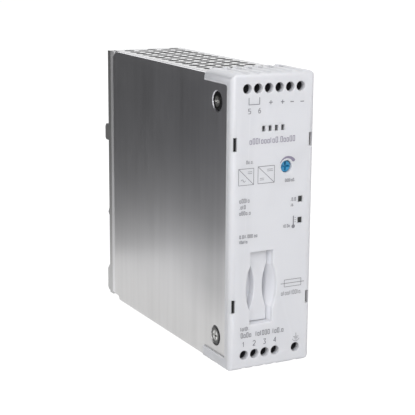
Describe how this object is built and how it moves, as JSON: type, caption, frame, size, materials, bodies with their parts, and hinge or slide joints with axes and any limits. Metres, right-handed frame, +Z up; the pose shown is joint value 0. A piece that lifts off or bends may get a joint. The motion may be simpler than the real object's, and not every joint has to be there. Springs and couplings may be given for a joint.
{
  "type": "DIN rail power supply",
  "caption": "Narrow upright power supply for a control-cabinet rail: metal case, plastic front, screw terminals at top and bottom, pull-out fuse carrier, trimmer and rail clip.",
  "frame": {"origin": "centre of the bounding box's bottom face", "axes": "+Z up, the front with the terminals and trimmer faces -Y, the rail clip faces +Y, the rail runs along X"},
  "size_m": [0.04, 0.138, 0.127],
  "materials": {
    "cover_plastic": "light grey moulded polycarbonate, fine satin",
    "case_aluminium": "bare sheet with an upright grain",
    "vent_aluminium": "bare punched sheet",
    "terminal_plastic": "dark grey moulded",
    "contact_brass": "tin-washed brass",
    "fuse_glass": "clear tube",
    "fuse_cap_metal": "nickel-plated",
    "trimmer_blue": "blue moulded",
    "light_pipe_plastic": "clear acrylic",
    "led_green": "tinted resin",
    "board_green": "solder-masked laminate",
    "insulation_film": "fibre film",
    "ferrite": "sintered dark grey",
    "winding_tape": "yellow polyester tape",
    "capacitor_sleeve": "dark shrink sleeve",
    "copper_winding": "enamelled copper wire",
    "yellow_case": "yellow film capacitor case",
    "relay_blue": "blue relay case",
    "black_epoxy": "moulded epoxy",
    "screw_steel": "zinc-plated",
    "clamp_steel": "nickel-plated",
    "clip_steel": "dark passivated sheet",
    "foot_plastic": "light grey moulded",
    "spring_steel": "bright spring wire"
  },
  "bodies": {
    "housing": {"side_plate": "case_aluminium", "right_panel": "case_aluminium", "top_vent_sheet": "vent_aluminium", "bottom_vent_sheet": "vent_aluminium", "back_wall": "case_aluminium", "front_cover": "cover_plastic", "output_terminal_block": "terminal_plastic", "input_terminal_block": "terminal_plastic", "terminal_bars": "contact_brass", "fuse_clips": "contact_brass", "trimmer_body": "trimmer_blue", "light_pipes": "light_pipe_plastic", "indicator_leds": "led_green", "front_board": "board_green", "main_board": "board_green", "board_pillars": "contact_brass", "insulation_sheet": "insulation_film", "transformer_core": "ferrite", "transformer_winding": "winding_tape", "pfc_inductor": "ferrite", "bulk_capacitor": "capacitor_sleeve", "output_capacitors": "capacitor_sleeve", "filter_choke": "copper_winding", "x_capacitor": "yellow_case", "signal_relay": "relay_blue", "heat_spreader": "case_aluminium", "power_transistors": "black_epoxy", "case_screws": "screw_steel", "board_screws": "screw_steel", "rail_bracket": "clip_steel", "bracket_screws": "screw_steel", "latch_spring": "spring_steel"},
    "fuse_drawer": {"fuse_carrier": "cover_plastic", "fuse_glass": "fuse_glass", "fuse_caps": "fuse_cap_metal"},
    "trimmer": {"trimmer_rotor": "trimmer_blue"},
    "latch": {"rail_latch": "clip_steel", "release_foot": "foot_plastic"},
    "output_screw_body_1": {"output_screw_1": "screw_steel"},
    "output_clamp_body_1": {"output_clamp_1": "clamp_steel"},
    "output_screw_body_2": {"output_screw_2": "screw_steel"},
    "output_clamp_body_2": {"output_clamp_2": "clamp_steel"},
    "output_screw_body_3": {"output_screw_3": "screw_steel"},
    "output_clamp_body_3": {"output_clamp_3": "clamp_steel"},
    "output_screw_body_4": {"output_screw_4": "screw_steel"},
    "output_clamp_body_4": {"output_clamp_4": "clamp_steel"},
    "output_screw_body_5": {"output_screw_5": "screw_steel"},
    "output_clamp_body_5": {"output_clamp_5": "clamp_steel"},
    "output_screw_body_6": {"output_screw_6": "screw_steel"},
    "output_clamp_body_6": {"output_clamp_6": "clamp_steel"},
    "input_screw_body_1": {"input_screw_1": "screw_steel"},
    "input_clamp_body_1": {"input_clamp_1": "clamp_steel"},
    "input_screw_body_2": {"input_screw_2": "screw_steel"},
    "input_clamp_body_2": {"input_clamp_2": "clamp_steel"},
    "input_screw_body_3": {"input_screw_3": "screw_steel"},
    "input_clamp_body_3": {"input_clamp_3": "clamp_steel"},
    "input_screw_body_4": {"input_screw_4": "screw_steel"},
    "input_clamp_body_4": {"input_clamp_4": "clamp_steel"},
    "input_screw_body_5": {"input_screw_5": "screw_steel"},
    "input_clamp_body_5": {"input_clamp_5": "clamp_steel"}
  },
  "joints": [
    {"name": "fuse_drawer_slide", "type": "slide", "parent": "housing", "child": "fuse_drawer", "axis": [0, -1, 0], "range_m": [0, 0.014]},
    {"name": "trimmer_turn", "type": "hinge", "parent": "housing", "child": "trimmer", "pos_m": [0.00646, 0, 0.0869], "axis": [0, 1, 0], "range_deg": [-135, 135]},
    {"name": "latch_pull", "type": "slide", "parent": "housing", "child": "latch", "axis": [0, 0, -1], "range_m": [0, 0.0032], "stiffness_N_per_m": 800, "springref_m": -0.003, "deforming": ["latch_spring"]},
    {"name": "output_screw_turn_1", "type": "hinge", "parent": "housing", "child": "output_screw_body_1", "pos_m": [-0.0127, 0, 0.1205], "axis": [0, 1, 0], "range_deg": [0, 1800]},
    {"name": "output_clamp_slide_1", "type": "slide", "parent": "housing", "child": "output_clamp_body_1", "axis": [0, -1, 0], "range_m": [0, 0.0025]},
    {"name": "output_screw_turn_2", "type": "hinge", "parent": "housing", "child": "output_screw_body_2", "pos_m": [-0.00762, 0, 0.1205], "axis": [0, 1, 0], "range_deg": [0, 1800]},
    {"name": "output_clamp_slide_2", "type": "slide", "parent": "housing", "child": "output_clamp_body_2", "axis": [0, -1, 0], "range_m": [0, 0.0025]},
    {"name": "output_screw_turn_3", "type": "hinge", "parent": "housing", "child": "output_screw_body_3", "pos_m": [-0.00254, 0, 0.1205], "axis": [0, 1, 0], "range_deg": [0, 1800]},
    {"name": "output_clamp_slide_3", "type": "slide", "parent": "housing", "child": "output_clamp_body_3", "axis": [0, -1, 0], "range_m": [0, 0.0025]},
    {"name": "output_screw_turn_4", "type": "hinge", "parent": "housing", "child": "output_screw_body_4", "pos_m": [0.00254, 0, 0.1205], "axis": [0, 1, 0], "range_deg": [0, 1800]},
    {"name": "output_clamp_slide_4", "type": "slide", "parent": "housing", "child": "output_clamp_body_4", "axis": [0, -1, 0], "range_m": [0, 0.0025]},
    {"name": "output_screw_turn_5", "type": "hinge", "parent": "housing", "child": "output_screw_body_5", "pos_m": [0.00762, 0, 0.1205], "axis": [0, 1, 0], "range_deg": [0, 1800]},
    {"name": "output_clamp_slide_5", "type": "slide", "parent": "housing", "child": "output_clamp_body_5", "axis": [0, -1, 0], "range_m": [0, 0.0025]},
    {"name": "output_screw_turn_6", "type": "hinge", "parent": "housing", "child": "output_screw_body_6", "pos_m": [0.0127, 0, 0.1205], "axis": [0, 1, 0], "range_deg": [0, 1800]},
    {"name": "output_clamp_slide_6", "type": "slide", "parent": "housing", "child": "output_clamp_body_6", "axis": [0, -1, 0], "range_m": [0, 0.0025]},
    {"name": "input_screw_turn_1", "type": "hinge", "parent": "housing", "child": "input_screw_body_1", "pos_m": [-0.0127, 0, 0.0065], "axis": [0, 1, 0], "range_deg": [0, 1800]},
    {"name": "input_clamp_slide_1", "type": "slide", "parent": "housing", "child": "input_clamp_body_1", "axis": [0, -1, 0], "range_m": [0, 0.0025]},
    {"name": "input_screw_turn_2", "type": "hinge", "parent": "housing", "child": "input_screw_body_2", "pos_m": [-0.00762, 0, 0.0065], "axis": [0, 1, 0], "range_deg": [0, 1800]},
    {"name": "input_clamp_slide_2", "type": "slide", "parent": "housing", "child": "input_clamp_body_2", "axis": [0, -1, 0], "range_m": [0, 0.0025]},
    {"name": "input_screw_turn_3", "type": "hinge", "parent": "housing", "child": "input_screw_body_3", "pos_m": [-0.00254, 0, 0.0065], "axis": [0, 1, 0], "range_deg": [0, 1800]},
    {"name": "input_clamp_slide_3", "type": "slide", "parent": "housing", "child": "input_clamp_body_3", "axis": [0, -1, 0], "range_m": [0, 0.0025]},
    {"name": "input_screw_turn_4", "type": "hinge", "parent": "housing", "child": "input_screw_body_4", "pos_m": [0.00254, 0, 0.0065], "axis": [0, 1, 0], "range_deg": [0, 1800]},
    {"name": "input_clamp_slide_4", "type": "slide", "parent": "housing", "child": "input_clamp_body_4", "axis": [0, -1, 0], "range_m": [0, 0.0025]},
    {"name": "input_screw_turn_5", "type": "hinge", "parent": "housing", "child": "input_screw_body_5", "pos_m": [0.0127, 0, 0.0065], "axis": [0, 1, 0], "range_deg": [0, 1800]},
    {"name": "input_clamp_slide_5", "type": "slide", "parent": "housing", "child": "input_clamp_body_5", "axis": [0, -1, 0], "range_m": [0, 0.0025]}
  ],
  "couplings": [
    {"joint": "output_screw_turn_1", "follows": "output_clamp_slide_1", "rad_per_m": 12566},
    {"joint": "output_screw_turn_2", "follows": "output_clamp_slide_2", "rad_per_m": 12566},
    {"joint": "output_screw_turn_3", "follows": "output_clamp_slide_3", "rad_per_m": 12566},
    {"joint": "output_screw_turn_4", "follows": "output_clamp_slide_4", "rad_per_m": 12566},
    {"joint": "output_screw_turn_5", "follows": "output_clamp_slide_5", "rad_per_m": 12566},
    {"joint": "output_screw_turn_6", "follows": "output_clamp_slide_6", "rad_per_m": 12566},
    {"joint": "input_screw_turn_1", "follows": "input_clamp_slide_1", "rad_per_m": 12566},
    {"joint": "input_screw_turn_2", "follows": "input_clamp_slide_2", "rad_per_m": 12566},
    {"joint": "input_screw_turn_3", "follows": "input_clamp_slide_3", "rad_per_m": 12566},
    {"joint": "input_screw_turn_4", "follows": "input_clamp_slide_4", "rad_per_m": 12566},
    {"joint": "input_screw_turn_5", "follows": "input_clamp_slide_5", "rad_per_m": 12566}
  ]
}
